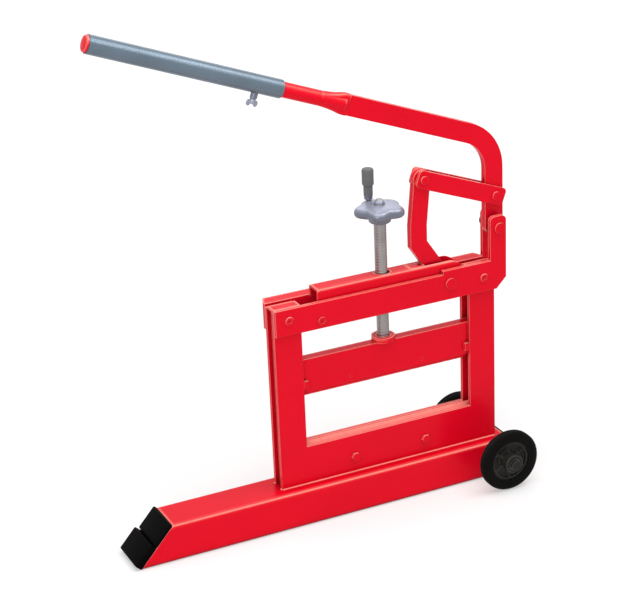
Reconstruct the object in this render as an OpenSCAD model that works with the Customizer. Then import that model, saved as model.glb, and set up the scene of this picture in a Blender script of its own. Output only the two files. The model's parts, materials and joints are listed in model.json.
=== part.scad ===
// Masonry block splitter: a base tube on two wheels carries a portal frame. A hand lever presses a
// bladed beam down on the block through a link and a rocker. A screw spindle with a handwheel sets
// the height of that beam.
// Millimetres, +Z up. X runs along the base from the toe (-X) to the wheels (+X), and -Y is the front.
// Origin: on the underside of the base tube, straight below the spindle axis.

/* [Base] */
// Width of the base tube (Y)
base_w = 90; // [70:1:120]
// Height of the base tube
base_h = 80; // [64:1:110]
// Wall of the base tube
base_wall = 5; // [3:0.5:8]
// Outer corner radius of the base tube
base_r = 8; // [6:0.5:14]
// Reach of the toe's lowest edge from the spindle axis
toe_reach = 565; // [420:1:700]
// Setback of the toe's top edge from its lowest edge
toe_setback = 73; // [40:1:100]
// How far the tail runs past the right leg of the portal
tail_over = 19; // [8:1:60]
// How far the upper toe pad stands off the slanted face
pad_upper_t = 8; // [4:0.5:20]
// How far the lower toe pad stands off the slanted face
pad_lower_t = 16; // [4:0.5:24]

/* [Portal] */
// Clear width between the uprights
clear_w = 376; // [300:1:440]
// Width of an upright (X)
upright_w = 58; // [50:1:74]
// Depth of an upright (Y)
upright_d = 40; // [40:1:50]
// Web of an upright, between the two frame plates
upright_web = 6; // [4:0.5:10]
// Height of the uprights and head above the base tube
upright_h = 390; // [360:1:440]
// Height of the lower beam above the base tube
lower_h = 82; // [60:1:100]
// Play between the blade beam and the flanges that guide it
beam_play = 0.5; // [0.2:0.05:0.8]

/* [Head] */
// Height of the head plates
head_h = 54; // [52:1:70]
// Thickness of a head plate
head_t = 10; // [6:0.5:14]
// Rise of the stepped part of the front head plate
head_step = 8; // [2:0.5:14]
// How far the flange on the back head plate stands out
back_flange = 20; // [10:1:26]
// Diameter of the head bolts
head_bolt_d = 12; // [8:1:16]

/* [Linkage] */
// Rise of the lever pin above the head
lever_pin_rise = 75; // [64:1:90]
// Distance from the lever pin to the link pin
lever_crank = 65; // [60:1:76]
// Horizontal run of the link
link_run = 162; // [150:1:164]
// Rise of the link
link_rise = 62; // [50:1:76]
// Height of a link strap
strap_h = 36; // [30:1:44]
// Thickness of a link strap
strap_t = 8; // [5:0.5:10]
// Diameter of the lever pin and the rocker pin
main_pin_d = 16; // [14:1:20]
// Diameter of the two link pins
link_pin_d = 12; // [10:1:16]
// Rise of the rocker channel above the head
rocker_rise = 23; // [16:1:34]
// Wall of the rocker channel
rocker_wall = 5; // [3:0.5:5.5]
// Width of the cranked arm on the rocker
crank_arm_w = 36; // [28:1:38]
// Travel that the open link pin needs in its holes
link_slack = 0.4; // [0.4:0.05:0.8]

/* [Lever] */
// Width of the lever bar
lever_w = 40; // [36:1:48]
// Thickness of the lever bar and the cranked arm
lever_t = 16; // [10:0.5:18]
// Centre-line radius of the lever's bend
bend_r = 86; // [60:1:110]
// Angle of the lever's bend
bend_deg = 69; // [66:0.5:80]
// Length of the straight arm after the bend
lever_arm = 288; // [240:1:340]
// Length of the handle tube
tube_len = 410; // [360:1:460]
// Diameter of the handle tube
tube_d = 30; // [22:0.5:34]
// Wall of the handle tube
tube_wall = 3; // [2:0.5:5]
// Diameter of the sliding grip tube
grip_d = 36; // [35:0.5:44]
// Length of the sliding grip tube
grip_len = 394; // [300:1:460]

/* [Blade] */
// Height of the blade beam
beam_h = 70; // [50:1:80]
// Thickness of the blades
blade_t = 12; // [8:0.5:14]
// How far the upper blade stands below its beam
blade_proud = 11; // [9:0.5:20]
// How far the lower blade stands above its beam
lower_proud = 4; // [2:0.5:6]
// Depth of the blade beam's top below the head, as drawn
beam_drop = 68; // [40:1:76]

/* [Spindle] */
// Diameter of the screw spindle
spindle_d = 25; // [16:0.5:25]
// Diameter of the handwheel
handwheel_d = 102; // [80:1:102]
// Thickness of the handwheel
handwheel_t = 23; // [16:0.5:28]
// Height of the handwheel hub's underside above the rocker channel
handwheel_rise = 106; // [98:1:114]
// Diameter of the crank grip
crank_grip_d = 24; // [18:0.5:28]

/* [Wheels] */
// Diameter of the wheels
wheel_d = 130; // [110:1:131]
// Width of a tyre
tyre_w = 22; // [18:1:36]
// Gap between the base tube and a tyre
wheel_gap = 52; // [30:1:64]
// Diameter of the axle
axle_d = 16; // [12:0.5:17]

/* [Hidden] */
$fn = 48;
RED = [0.86, 0.04, 0.09];
BLACK = [0.07, 0.07, 0.08];
STEEL = [0.62, 0.61, 0.60];
ZINC = [0.60, 0.62, 0.68];
GREY = [0.43, 0.48, 0.52];

// fits and common thicknesses
past = 1;
pin_fit = 0.05;
side_fit = 0.5;
free_fit = 0.3;
turn_fit = 0.2;

// base
inner_w = base_w - 2 * base_wall;
inner_h = base_h - 2 * base_wall;
inner_r = base_r - base_wall;
toe_deg = atan2(base_h, toe_setback);
slope_len = norm([base_h, toe_setback]);
pad_gap = 2;
pad_edge = 1;
pad_split = slope_len * 0.497;
plug_depth = 18;
plug_cap_t = 4;

// portal
base_top = base_h;
up_in = clear_w / 2;
up_out = up_in + upright_w;
tail_reach = up_out + tail_over;
half_d = upright_d / 2;
web_recess = 8;
cap_t = 5;
cap_back = 6;
head_top = base_top + upright_h;
head_low = head_top - head_h;
lower_top = base_top + lower_h;
lower_blade_in = 62;
lower_blade_over = 8;
lower_bolt_x = clear_w * 0.215;
lower_bolt_z = base_top + lower_h * 0.42;
lower_bolt_d = 10;
blade_land = 2;

// blade beam
beam_top = head_low - beam_drop;
beam_low = beam_top - beam_h;
blade_low = beam_low - blade_proud;
beam_slot = 25;
beam_end_gap = 6;
web_out = up_out - web_recess;
web_in = web_out - upright_web;
beam_reach = web_in - beam_end_gap;
beam_t = 23;
frame_in = beam_t / 2 + beam_play;
frame_t = half_d - frame_in;
spacer_t = frame_in - blade_t / 2;
blade_end_gap = 1;
blade_bolt_d = 8;
blade_bolt_z = beam_low + beam_slot / 2;
blade_bolt_head_t = 5;
pad_x = 10;
pad_z = 17;
pad_rise = 10;

// head
plate_out = half_d + head_t;
flange_t = head_t / 2;
flange_cut = back_flange * 0.43;
head_bolt_x = (up_in + up_out) / 2;
head_bolt_drop = 24;
head_bolt_z = head_top - head_bolt_drop;
head_bolt_head = [head_bolt_d * 1.5, 3];
head_socket = [head_bolt_d * 0.8, 2];
nut_t = 10;
nut_d = head_bolt_d * 1.83;
lug_out = 8;
lever_pin = [up_out + lug_out, head_top + lever_pin_rise];
rocker_pin_drop = 21;
nose_r = rocker_rise + rocker_pin_drop;
nose_gap = 4;
rocker_arm = up_in - nose_gap - nose_r;
rocker_pin = [rocker_arm, head_top - rocker_pin_drop];
lug_left = 21.5;
back_lug_left = main_pin_d * 0.66;
lug_right = 14.5;
lug_above = 26;
lug_r = 10;
step_lead = 16;
step_x = rocker_arm - step_lead;
pin_head = [main_pin_d * 1.5, 4];
pin_tail = 8;
clip_w = 4;
clip_t = 2;

// linkage points
lever_link = lever_pin + [0, lever_crank];
rocker_link = lever_link + [-link_run, link_rise];
link_len = norm([link_run, link_rise]);
link_deg = atan2(link_rise, -link_run);
strap_over = 20;
strap_tip = 14;
strap_r = 8;
strap_in = lever_t / 2 + side_fit;
strap_out = strap_in + strap_t;
link_head = [link_pin_d * 1.5, 4];
hub_wall = 5;
hub_d = main_pin_d + 2 * hub_wall;

// rocker
rocker_w = upright_d - 2 * side_fit;
rocker_top = head_top + rocker_rise;
rocker_in = rocker_w / 2 - rocker_wall;
rocker_end_gap = 38;
rocker_left = rocker_end_gap - up_in;
rocker_flange_end = 26;
web_end_gap = 82;
rocker_web_end = rocker_arm - web_end_gap;
rocker_low_r = 25;
rocker_neck = 80;
rocker_bend_r = 7;
flange_drop = 1;
knee_run = 58;
knee_rise = 87;
knee_len = 40;
arm_knee = rocker_pin + [-knee_run, knee_rise];
arm_bend = arm_knee + [0, knee_len];
arm_eye = 1.5;
web_slot_play = 0.8;
web_slot_shift = 4;

// nut and its trunnions
nut_rise = 6;
nut_z = rocker_pin[1] + nut_rise;
nut_half = [17, rocker_in - side_fit, 17];
trunnion_d = 12;
trunnion_out = rocker_w / 2 - side_fit;
trunnion_play = 0.3;

// stop and return spring
stop_drop = 24;
stop_lead = 3;
stop_x = rocker_left + stop_lead;
stop_r = 12;
stop_z = rocker_top - rocker_flange_end - stop_drop - stop_r;
stop_bolt_d = 12;
spring_lead = 55;
spring_x = rocker_left + spring_lead;
seat_t = 6;
seat_lift = 2;
seat_half = 20;
seat_stud = [14, 10];
seat_top = head_low + seat_lift + seat_t;
spring_top = rocker_top - rocker_wall;
spring_d = 24;
spring_wire = 3.2;
spring_curls = 8;
ring_steps = 8;
ring_sides = 6;

// spindle
housing_d = 48;
housing_t = 7;
cover_t = 3;
flange_d = 35;
handwheel_hub_low = rocker_top + handwheel_rise;
handwheel_hub_d = 44;
handwheel_hub_t = 14;
handwheel_low = handwheel_hub_low + handwheel_hub_t;
handwheel_top = handwheel_low + handwheel_t;
lobes = 5;
lobe_deg = 96;
scallop_r = 17;
scallop_out = 8;
scallop_at = handwheel_d / 2 + scallop_out;
crank_inset = 12;
crank_r = handwheel_d / 2 - crank_inset;
crank_stud_d = 10;
crank_neck = [17, 28];
crank_grip_len = 34;
crank_stud_len = crank_grip_len * 0.8;
cap_nut = [22, 10];
cap_stud_d = 14;

// lever
lever_stem = 57;
lever_z = lever_link[1] + lever_stem;
bend_centre = [lever_pin[0] - bend_r, lever_z];
arm_start = bend_centre + bend_r * [cos(bend_deg), sin(bend_deg)];
tube_start = lever_arm;
root_len = 50;
grip_from = 138;
grip_start = tube_start + grip_from;
grip_end = grip_start + grip_len;
grip_wall = (grip_d - tube_d) / 2 - turn_fit;
grip_plug_t = 6;
grip_plug_in = 18;
clamp_from = 49;
clamp_at = grip_start + clamp_from;
clamp_boss = [14, 10];
clamp_sink = 6;
clamp_d = 8;
wing_t = 4;
wing = [24, 12];
wing_hub = [12, 10];
wing_gap = 1;

// wheels
axle_inset = 38;
axle_x = tail_reach - axle_inset;
ground_gap = 1;
axle_z = wheel_d / 2 + ground_gap;
tyre_in = base_w / 2 + wheel_gap;
tyre_out = tyre_in + tyre_w;
tyre_r = 8;
rim_r = wheel_d * 0.33;
rim_inset = 5;
boss_r = 20;
boss_in = 4;
boss_out = 14;
bush_wall = 4;
sleeve_d = 28;
axle_over = 2;
axle_cap = [22, 5];
axle_reach = tyre_out + boss_out + axle_over + axle_cap[1];

// Rectangle with round corners, centred.
module rounded(w, h, r) {
  square([w - 2 * r, h], center = true);
  square([w, h - 2 * r], center = true);
  for (x = [-1, 1], y = [-1, 1]) translate([x * (w / 2 - r), y * (h / 2 - r)]) circle(r);
}

// Runs a profile drawn in Y and Z along X.
module along_x(x0, x1) {
  translate([x0, 0, 0]) rotate([90, 0, 90]) linear_extrude(x1 - x0) children();
}

// Gives a shape drawn in X and Z a thickness from y0 to y1.
module across(y0, y1) {
  translate([0, y1, 0]) rotate([90, 0, 0]) linear_extrude(y1 - y0) children();
}

// A round bar along Y at a point of the X-Z plane.
module rod_y(p, r, y0, y1) {
  across(y0, y1) translate(p) circle(r);
}

// A flat bar between two points with round ends.
module bar_2d(p, q, w) {
  d = q - p;
  translate(p) rotate(atan2(d[1], d[0])) translate([0, -w / 2]) square([norm(d), w]);
  translate(p) circle(w / 2);
  translate(q) circle(w / 2);
}

// Places local +Z on the straight arm of the lever, at a distance from the end of the bend.
module on_arm(t) {
  translate([arm_start[0], 0, arm_start[1]]) rotate([0, -bend_deg, 0]) translate([0, 0, t]) children();
}

// A ring along local +Z.
module ring(r_out, r_in, h) {
  difference() {
    cylinder(r = r_out, h = h);
    translate([0, 0, -past]) cylinder(r = r_in, h = h + 2 * past);
  }
}

// A hexagon nut or head along Y, from y0 to y1.
module hex_y(p, d, y0, y1) {
  across(y0, y1) translate(p) circle(d = d, $fn = 6);
}

module slope_2d(s0, s1, t0, t1) {
  translate([-toe_reach, 0]) rotate(toe_deg) translate([s0, t0]) square([s1 - s0, t1 - t0]);
}

module base_beam() {
  color(RED) difference() {
    along_x(-toe_reach, tail_reach) translate([0, base_h / 2]) difference() {
      rounded(base_w, base_h, base_r);
      rounded(inner_w, inner_h, inner_r);
    }
    across(-base_w, base_w) slope_2d(-slope_len, 2 * slope_len, 0, 2 * slope_len);
    rod_y([axle_x, axle_z], axle_d / 2 + pin_fit, -base_w, base_w);
  }
}

module toe_pad(s0, s1, t) {
  across(-base_w / 2 + pad_edge, base_w / 2 - pad_edge) slope_2d(s0, s1, 0, t);
  intersection() {
    across(-base_w / 2, base_w / 2) slope_2d(s0, s1, -plug_depth, t / 2);
    along_x(-toe_reach, 0) translate([0, base_h / 2])
      rounded(inner_w - 2 * free_fit, inner_h - 2 * free_fit, inner_r);
  }
}

module toe_pad_upper() {
  color(BLACK) toe_pad(pad_split + pad_gap / 2, slope_len - pad_edge, pad_upper_t);
}

module toe_pad_lower() {
  color(BLACK) toe_pad(pad_edge, pad_split - pad_gap / 2, pad_lower_t);
}

module rear_plug() {
  color(BLACK) translate([0, 0, base_h / 2]) {
    along_x(tail_reach, tail_reach + plug_cap_t) rounded(base_w, base_h, base_r);
    along_x(tail_reach - plug_depth, tail_reach)
      rounded(inner_w - 2 * free_fit, inner_h - 2 * free_fit, inner_r);
  }
}

// One of the two U-shaped plates of the portal: two legs and the lower cross bar.
module frame_plate() {
  difference() {
    translate([-up_out, -half_d, base_top]) cube([2 * up_out, frame_t, upright_h - cap_t]);
    translate([-up_in, -upright_d, lower_top]) cube([clear_w, upright_d, upright_h]);
    for (s = [-1, 1]) {
      rod_y([s * head_bolt_x, head_bolt_z], head_bolt_d / 2 + pin_fit, -upright_d, 0);
      rod_y([s * lower_bolt_x, lower_bolt_z], lower_bolt_d / 2 + pin_fit, -upright_d, 0);
    }
  }
}

module front_frame() { color(RED) frame_plate(); }
module back_frame() { color(RED) mirror([0, 1, 0]) frame_plate(); }

// The web that joins the two plates of a leg, set back from their outer edges.
module upright() {
  translate([web_in, -frame_in, base_top]) cube([upright_web, 2 * frame_in, upright_h - cap_t]);
}

module left_upright() { color(RED) mirror([1, 0, 0]) upright(); }
module right_upright() { color(RED) upright(); }

module upright_caps() {
  color(RED) for (s = [0, 1]) mirror([s, 0, 0])
    translate([up_in, -half_d, head_top - cap_t]) cube([upright_w, half_d + cap_back, cap_t]);
}

// Filler between a frame plate and the lower blade.
module lower_plate() {
  difference() {
    translate([-up_in, -frame_in, base_top]) cube([clear_w, spacer_t, lower_h]);
    for (s = [-1, 1]) rod_y([s * lower_bolt_x, lower_bolt_z], lower_bolt_d / 2 + pin_fit, -upright_d, 0);
  }
}

module lower_plate_front() { color(RED) lower_plate(); }
module lower_plate_back() { color(RED) mirror([0, 1, 0]) lower_plate(); }

// A blade section with its edge at y = 0, pointing to +Z.
module blade_2d(height) {
  polygon([[-blade_t / 2, -height], [blade_t / 2, -height], [blade_t / 2, -blade_t / 3],
    [blade_land / 2, 0], [-blade_land / 2, 0], [-blade_t / 2, -blade_t / 3]]);
}

module lower_blade() {
  color(RED) difference() {
    translate([0, 0, lower_top + lower_proud]) along_x(-up_in - lower_blade_over, up_in + lower_blade_over)
      blade_2d(lower_blade_in + lower_proud);
    for (s = [-1, 1])
      rod_y([s * lower_bolt_x, lower_bolt_z], lower_bolt_d / 2 + pin_fit, -upright_d, upright_d);
  }
}

module lower_bolts() {
  color(RED) for (s = [-1, 1]) {
    p = [s * lower_bolt_x, lower_bolt_z];
    rod_y(p, lower_bolt_d / 2, -half_d, half_d);
    hex_y(p, lower_bolt_d * 1.9, -half_d - lower_bolt_d * 0.6, -half_d);
    hex_y(p, lower_bolt_d * 1.9, half_d, half_d + lower_bolt_d * 0.8);
  }
}

module head_outline(lug) {
  right = lever_pin[0] + lug_right;
  left = lever_pin[0] - lug;
  top = lever_pin[1] + lug_above;
  cut = right - up_out;
  polygon([[-up_out, head_low], [up_out, head_low], [right, head_low + cut], [right, top - lug_r],
    [left, top - lug_r], [left, head_top], [-up_out, head_top]]);
  translate([left + lug_r, top - 2 * lug_r]) square([right - left - 2 * lug_r, 2 * lug_r]);
  for (x = [left + lug_r, right - lug_r]) translate([x, top - lug_r]) circle(lug_r);
}

module head_plate(lug, step) {
  difference() {
    across(-plate_out, -half_d) {
      head_outline(lug);
      translate([step_x, head_low]) square([lever_pin[0] - lug - step_x, head_h + step]);
    }
    for (s = [-1, 1])
      rod_y([s * head_bolt_x, head_bolt_z], head_bolt_d / 2 + pin_fit, -plate_out - past, 0);
    for (p = [lever_pin, rocker_pin]) rod_y(p, main_pin_d / 2 + pin_fit, -plate_out - past, 0);
    rod_y([stop_x, stop_z], stop_bolt_d / 2 + pin_fit, -plate_out - past, 0);
  }
}

module head_plate_front() { color(RED) head_plate(lug_left, head_step); }

// The back plate has a level top, with a flange turned outwards along it.
module head_plate_back() {
  far = plate_out + back_flange;
  color(RED) {
    mirror([0, 1, 0]) head_plate(back_lug_left, 0);
    translate([0, 0, head_top - flange_t]) linear_extrude(flange_t)
      polygon([[-up_out, plate_out - flange_t], [up_out, plate_out - flange_t], [up_out, plate_out],
        [up_out - flange_cut, far], [flange_cut - up_out, far], [-up_out, plate_out]]);
  }
}

module socket_bolt(p, d) {
  difference() {
    union() {
      rod_y(p, d / 2, -plate_out, plate_out);
      rod_y(p, head_bolt_head[0] / 2, -plate_out - head_bolt_head[1], -plate_out);
      hex_y(p, nut_d, plate_out, plate_out + nut_t);
    }
    hex_y(p, head_socket[0], -plate_out - head_bolt_head[1] - past,
      -plate_out - head_bolt_head[1] + head_socket[1]);
  }
}

module head_bolts() {
  color(RED) for (s = [-1, 1]) socket_bolt([s * head_bolt_x, head_bolt_z], head_bolt_d);
}

module stop_sleeve() {
  color(STEEL) across(-half_d, half_d) translate([stop_x, stop_z]) difference() {
    circle(stop_r);
    circle(stop_bolt_d / 2 + pin_fit);
  }
}

module stop_bolt() { color(RED) socket_bolt([stop_x, stop_z], stop_bolt_d); }

module main_pin(p) {
  rod_y(p, main_pin_d / 2, -plate_out, plate_out + pin_tail);
  rod_y(p, pin_head[0] / 2, -plate_out - pin_head[1], -plate_out);
}

module rocker_pin_bolt() { color(RED) main_pin(rocker_pin); }
module lever_pin_bolt() { color(RED) main_pin(lever_pin); }

module pin_clips() {
  color(BLACK) for (p = [rocker_pin, lever_pin]) across(plate_out, plate_out + clip_t) translate(p)
    difference() {
      circle(main_pin_d / 2 + clip_w);
      circle(main_pin_d / 2 + pin_fit);
    }
}

module spring_seat() {
  color(RED) {
    translate([spring_x - seat_half, -half_d, head_low + seat_lift])
      cube([2 * seat_half, upright_d, seat_t]);
    translate([spring_x, 0, seat_top]) cylinder(d = seat_stud[0], h = seat_stud[1]);
  }
}

// One unbroken coil of round wire, standing on the seat and reaching the channel's web.
module return_spring() {
  mid_r = (spring_d - spring_wire) / 2;
  low = seat_top + spring_wire / 2;
  rise = spring_top - seat_top - spring_wire;
  steps = spring_curls * ring_steps;
  points = [for (i = [0 : steps], j = [0 : ring_sides - 1])
    let (a = 360 * i / ring_steps, b = 360 * j / ring_sides, r = mid_r + spring_wire / 2 * cos(b))
    [spring_x + r * cos(a), r * sin(a), low + rise * i / steps + spring_wire / 2 * sin(b)]];
  sides = [for (i = [0 : steps - 1], j = [0 : ring_sides - 1], half = [0, 1])
    let (k = (j + 1) % ring_sides, a = i * ring_sides, b = a + ring_sides)
    half == 0 ? [a + j, a + k, b + k] : [a + j, b + k, b + j]];
  first = [for (j = [1 : ring_sides - 2]) [0, j + 1, j]];
  last = [for (j = [1 : ring_sides - 2]) [0, j, j + 1] + steps * ring_sides * [1, 1, 1]];
  echo(least_gap_between_curls = rise / spring_curls - spring_wire);
  color(STEEL) polyhedron(points, concat(first, sides, last));
}

module axle() { color(STEEL) rod_y([axle_x, axle_z], axle_d / 2, -axle_reach, axle_reach); }

module axle_sleeves() {
  color(RED) for (s = [0, 1]) mirror([0, s, 0])
    across(-tyre_in + boss_in + free_fit, -base_w / 2) translate([axle_x, axle_z]) difference() {
      circle(d = sleeve_d);
      circle(axle_d / 2 + pin_fit);
    }
}

module axle_caps() {
  low = tyre_out + boss_out + free_fit;
  color(BLACK) for (s = [0, 1]) mirror([0, s, 0]) difference() {
    rod_y([axle_x, axle_z], axle_cap[0] / 2, -axle_reach - past, -low);
    rod_y([axle_x, axle_z], axle_d / 2 + pin_fit, -axle_reach, -low + past);
  }
}

module lever_outline() {
  difference() {
    union() {
      translate(lever_pin) circle(lever_w / 2);
      translate(lever_pin - [lever_w / 2, 0]) square([lever_w, lever_z - lever_pin[1]]);
      intersection() {
        translate(bend_centre) difference() {
          circle(bend_r + lever_w / 2);
          circle(bend_r - lever_w / 2);
        }
        translate(bend_centre) polygon([[0, 0], [2 * bend_r, 0], [2 * bend_r, 3 * bend_r],
          3 * bend_r * [cos(bend_deg), sin(bend_deg)]]);
      }
      translate(arm_start) rotate(90 + bend_deg) translate([0, -lever_w / 2]) square([lever_arm, lever_w]);
    }
    translate(lever_pin) circle(hub_d / 2 + pin_fit);
    translate(lever_link) circle(link_pin_d / 2 + pin_fit);
  }
}

module lever_bar() { color(RED) across(-lever_t / 2, lever_t / 2) lever_outline(); }

module hub_tube(p) {
  across(-rocker_w / 2, rocker_w / 2) translate(p) difference() {
    circle(hub_d / 2);
    circle(main_pin_d / 2 + pin_fit);
  }
}

module lever_hub() { color(RED) hub_tube(lever_pin); }

module handle_tube() {
  color(RED) on_arm(tube_start) ring(tube_d / 2, tube_d / 2 - tube_wall, tube_len);
}

// Two cheeks that carry the flat bar into the round tube.
module handle_root() {
  color(RED) difference() {
    on_arm(tube_start) rotate([90, 0, 0]) linear_extrude(lever_t, center = true)
      polygon([[-lever_w / 2, 0], [lever_w / 2, 0], [tube_d / 2, root_len], [-tube_d / 2, root_len]]);
    on_arm(tube_start - past) cylinder(r = tube_d / 2 + pin_fit, h = root_len + 2 * past);
  }
}

module grip_tube() {
  color(GREY) difference() {
    on_arm(grip_start) ring(grip_d / 2, grip_d / 2 - grip_wall, grip_len);
    on_arm(clamp_at) rotate([0, -90, 0]) cylinder(r = clamp_d / 2 + turn_fit, h = grip_d);
  }
}

module grip_plug() {
  color(RED) {
    on_arm(grip_end) cylinder(d = grip_d, h = grip_plug_t);
    on_arm(grip_end - grip_plug_in)
      cylinder(r = grip_d / 2 - grip_wall - pin_fit, h = grip_plug_in + grip_plug_t / 2);
  }
}

// Threaded boss under the grip tube.
module clamp_nut() {
  color(ZINC) difference() {
    on_arm(clamp_at) rotate([0, -90, 0]) cylinder(d = clamp_boss[0], h = grip_d / 2 + clamp_boss[1]);
    on_arm(clamp_at - grip_d) cylinder(d = grip_d, h = 2 * grip_d);
    on_arm(clamp_at) rotate([0, -90, 0]) cylinder(r = clamp_d / 2 + turn_fit, h = 2 * grip_d);
  }
}

module wing_screw() {
  foot = grip_d / 2 + clamp_boss[1] + wing_gap;
  color(ZINC) on_arm(clamp_at) rotate([0, -90, 0]) {
    translate([0, 0, tube_d / 2 + turn_fit]) cylinder(d = clamp_d, h = foot - tube_d / 2);
    translate([0, 0, foot]) cylinder(d = wing_hub[0], h = wing_hub[1]);
    translate([-wing[0] / 2, -wing_t / 2, foot + wing_hub[1] - wing[1] / 2])
      cube([wing[0], wing_t, wing[1]]);
  }
}

module strap(hole_play) {
  across(-strap_out, -strap_in) translate(lever_link) rotate(link_deg) difference() {
    translate([(link_len + strap_tip - strap_over) / 2, 0])
      rounded(link_len + strap_tip + strap_over, strap_h, strap_r);
    circle(link_pin_d / 2 + pin_fit);
    translate([link_len, 0]) circle(link_pin_d / 2 + hole_play);
  }
}

module strap_front() { color(RED) strap(link_slack + free_fit); }
module strap_back() { color(RED) mirror([0, 1, 0]) strap(link_slack + free_fit); }

module link_pin(p, gap) {
  rod_y(p, link_pin_d / 2, -strap_out - gap, strap_out + gap);
  for (s = [0, 1]) mirror([0, s, 0])
    rod_y(p, link_head[0] / 2, -strap_out - gap - link_head[1], -strap_out - gap);
}

module lever_link_pin() { color(RED) link_pin(lever_link, 0); }
module rocker_link_pin() { color(RED) link_pin(rocker_link, free_fit); }

module rocker_side() {
  left_low = rocker_top - rocker_flange_end;
  polygon([[rocker_left, rocker_top], [rocker_left, left_low],
    [rocker_pin[0] - rocker_neck, rocker_pin[1] - flange_drop],
    [rocker_pin[0] - rocker_low_r, rocker_pin[1] - rocker_low_r / 2], rocker_pin,
    [rocker_pin[0], rocker_top]]);
  translate(rocker_pin) circle(rocker_low_r);
  intersection() {
    translate(rocker_pin) circle(nose_r);
    translate(rocker_pin - [nose_r, 0]) square([2 * nose_r, nose_r]);
  }
}

module rocker_section() {
  h = rocker_top - head_low;
  difference() {
    translate([0, head_low + h / 2 - rocker_bend_r])
      rounded(rocker_w, h + 2 * rocker_bend_r, rocker_bend_r);
    translate([-rocker_in, head_low - h]) square([2 * rocker_in, 2 * h - rocker_wall]);
  }
}

module rocker_channel() {
  color(RED) difference() {
    intersection() {
      along_x(rocker_left, rocker_pin[0] + nose_r) rocker_section();
      across(-rocker_w, rocker_w) rocker_side();
    }
    translate([rocker_web_end, -rocker_in, head_low]) cube([2 * rocker_arm, 2 * rocker_in, 2 * head_h]);
    rod_y(rocker_pin, hub_d / 2 + pin_fit, -upright_d, upright_d);
    across(-upright_d, upright_d) translate([0, nut_z])
      rounded(trunnion_d + 4 * trunnion_play, trunnion_d + 2 * trunnion_play, trunnion_d / 2);
    translate([0, 0, rocker_top - 2 * rocker_wall]) linear_extrude(3 * rocker_wall)
      bar_2d([0, 0], [web_slot_shift, 0], spindle_d + 2 * web_slot_play);
  }
}

// Corner of a strip of half width w that turns from a-b to b-c, on its left side.
function left_of(d) = [-d[1], d[0]] / norm(d);
function mitre(a, b, c, w) = let (m = left_of(b - a) + left_of(c - b)) b + 2 * w * m / (m * m);

module crank_arm() {
  w = crank_arm_w / 2;
  foot = left_of(arm_knee - rocker_pin) * w;
  tip = left_of(rocker_link - arm_bend) * w;
  color(RED) across(-lever_t / 2, lever_t / 2) difference() {
    union() {
      polygon([rocker_pin + foot, mitre(rocker_pin, arm_knee, arm_bend, w),
        mitre(arm_knee, arm_bend, rocker_link, w), rocker_link + tip, rocker_link - tip,
        mitre(arm_knee, arm_bend, rocker_link, -w), mitre(rocker_pin, arm_knee, arm_bend, -w),
        rocker_pin - foot]);
      for (p = [rocker_pin, rocker_link]) translate(p) circle(w + arm_eye);
    }
    translate(rocker_pin) circle(hub_d / 2 + pin_fit);
    translate(rocker_link) circle(link_pin_d / 2 + pin_fit);
  }
}

module rocker_hub() { color(RED) hub_tube(rocker_pin); }

module spindle_nut() {
  color(STEEL) difference() {
    union() {
      translate([0, 0, nut_z]) cube(2 * nut_half, center = true);
      rod_y([0, nut_z], trunnion_d / 2, -trunnion_out, trunnion_out);
    }
    translate([0, 0, nut_z - 2 * nut_half[2]]) cylinder(r = spindle_d / 2 + pin_fit, h = 4 * nut_half[2]);
  }
}

module blade_beam() {
  color(RED) difference() {
    along_x(-beam_reach, beam_reach) difference() {
      translate([-beam_t / 2, beam_low]) square([beam_t, beam_h]);
      translate([-blade_t / 2, beam_low - past]) square([blade_t, beam_slot + past]);
    }
    for (s = [-1, 1]) rod_y([s * lower_bolt_x, blade_bolt_z], blade_bolt_d / 2 + pin_fit, -beam_t, beam_t);
  }
}

module upper_blade() {
  reach = up_in - blade_end_gap;
  color(RED) difference() {
    translate([0, 0, blade_low]) mirror([0, 0, 1]) along_x(-reach, reach) blade_2d(blade_proud + beam_slot);
    for (s = [-1, 1]) rod_y([s * lower_bolt_x, blade_bolt_z], blade_bolt_d / 2 + pin_fit, -beam_t, beam_t);
  }
}

module blade_bolts() {
  color(RED) for (s = [-1, 1]) {
    p = [s * lower_bolt_x, blade_bolt_z];
    rod_y(p, blade_bolt_d / 2, -beam_t / 2, beam_t / 2);
    hex_y(p, blade_bolt_d * 1.8, beam_t / 2, beam_t / 2 + blade_bolt_head_t);
  }
}

module thrust_housing() {
  color(RED) translate([0, 0, beam_top]) ring(housing_d / 2, flange_d / 2 + free_fit, housing_t);
}

module thrust_cover() {
  color(RED) translate([0, 0, beam_top + housing_t]) ring(housing_d / 2, spindle_d / 2 + free_fit, cover_t);
}

module guide_pads() {
  color(RED) for (a = [0, 1], b = [0, 1]) mirror([a, 0, 0]) mirror([0, b, 0])
    translate([up_in - free_fit - pad_x, -half_d, beam_low + pad_rise])
      cube([pad_x, half_d - beam_t / 2, pad_z]);
}

module spindle() {
  low = beam_top + turn_fit;
  color(STEEL) {
    translate([0, 0, low]) cylinder(d = flange_d, h = housing_t - 2 * turn_fit);
    translate([0, 0, low]) cylinder(d = spindle_d, h = handwheel_top - low);
    translate([0, 0, handwheel_top]) cylinder(d = cap_stud_d, h = cap_nut[1]);
  }
}

module handwheel_outline() {
  difference() {
    circle(d = handwheel_d);
    for (i = [0 : lobes - 1]) rotate(lobe_deg + 180 / lobes + i * 360 / lobes)
      translate([scallop_at, 0]) circle(scallop_r);
  }
}

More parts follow.
